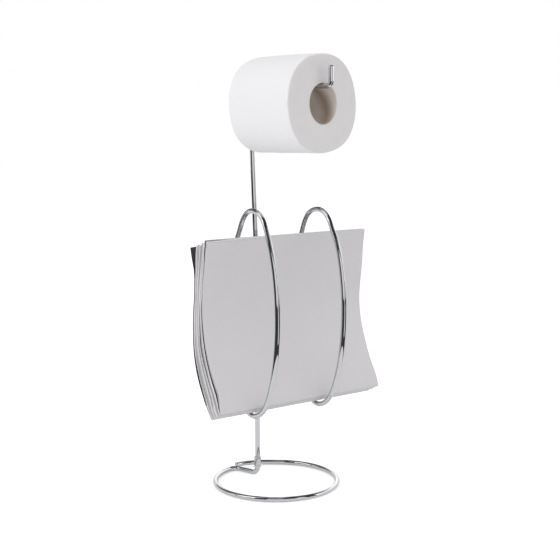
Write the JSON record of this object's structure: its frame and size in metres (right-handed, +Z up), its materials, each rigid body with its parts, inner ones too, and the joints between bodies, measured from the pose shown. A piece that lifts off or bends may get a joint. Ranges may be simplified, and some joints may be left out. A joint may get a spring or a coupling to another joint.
{
  "type": "toilet roll holder with magazine rack",
  "caption": "Free-standing toilet roll holder in bent chromed wire: round base, upright with a roll arm, and a closed-loop rack holding magazines at half height.",
  "frame": {"origin": "centre of the base ring, at the floor", "axes": "+Z up; -Y is the front, the way the roll arm points; X is the way the magazines lie and slide"},
  "size_m": [0.235, 0.159, 0.4981],
  "materials": {
    "chromed_wire": "bright chrome plate on steel wire",
    "cardboard": "raw grey-brown cardboard",
    "tissue_paper": "soft white tissue",
    "cover_paper": "smooth pale grey cover, blank",
    "leaf_paper": "cut edges of thin leaves"
  },
  "bodies": {
    "stand": {"base_wire": "chromed_wire", "base_ferrule": "chromed_wire", "stem_rod": "chromed_wire", "rail_lower": "chromed_wire", "rail_upper": "chromed_wire", "loop_left": "chromed_wire", "loop_right": "chromed_wire"},
    "roll": {"roll_core": "cardboard", "roll_paper": "tissue_paper"},
    "magazine_1": {"magazine_1_cover": "cover_paper", "magazine_1_pages": "leaf_paper"},
    "magazine_2": {"magazine_2_cover": "cover_paper", "magazine_2_pages": "leaf_paper"},
    "magazine_3": {"magazine_3_cover": "cover_paper", "magazine_3_pages": "leaf_paper"},
    "magazine_4": {"magazine_4_cover": "cover_paper", "magazine_4_pages": "leaf_paper"}
  },
  "joints": [
    {"name": "roll_spin", "type": "hinge", "parent": "stand", "child": "roll", "pos_m": [0.00667, -0.02252, 0.4441], "axis": [0.1132, -0.9936, 0], "continuous": true},
    {"name": "magazine_1_slide", "type": "slide", "parent": "stand", "child": "magazine_1", "axis": [1, 0, 0], "range_m": [-0.185, 0.156]},
    {"name": "magazine_2_slide", "type": "slide", "parent": "stand", "child": "magazine_2", "axis": [1, 0, 0], "range_m": [-0.185, 0.156]},
    {"name": "magazine_3_slide", "type": "slide", "parent": "stand", "child": "magazine_3", "axis": [1, 0, 0], "range_m": [-0.185, 0.156]},
    {"name": "magazine_4_slide", "type": "slide", "parent": "stand", "child": "magazine_4", "axis": [1, 0, 0], "range_m": [-0.185, 0.156]}
  ]
}
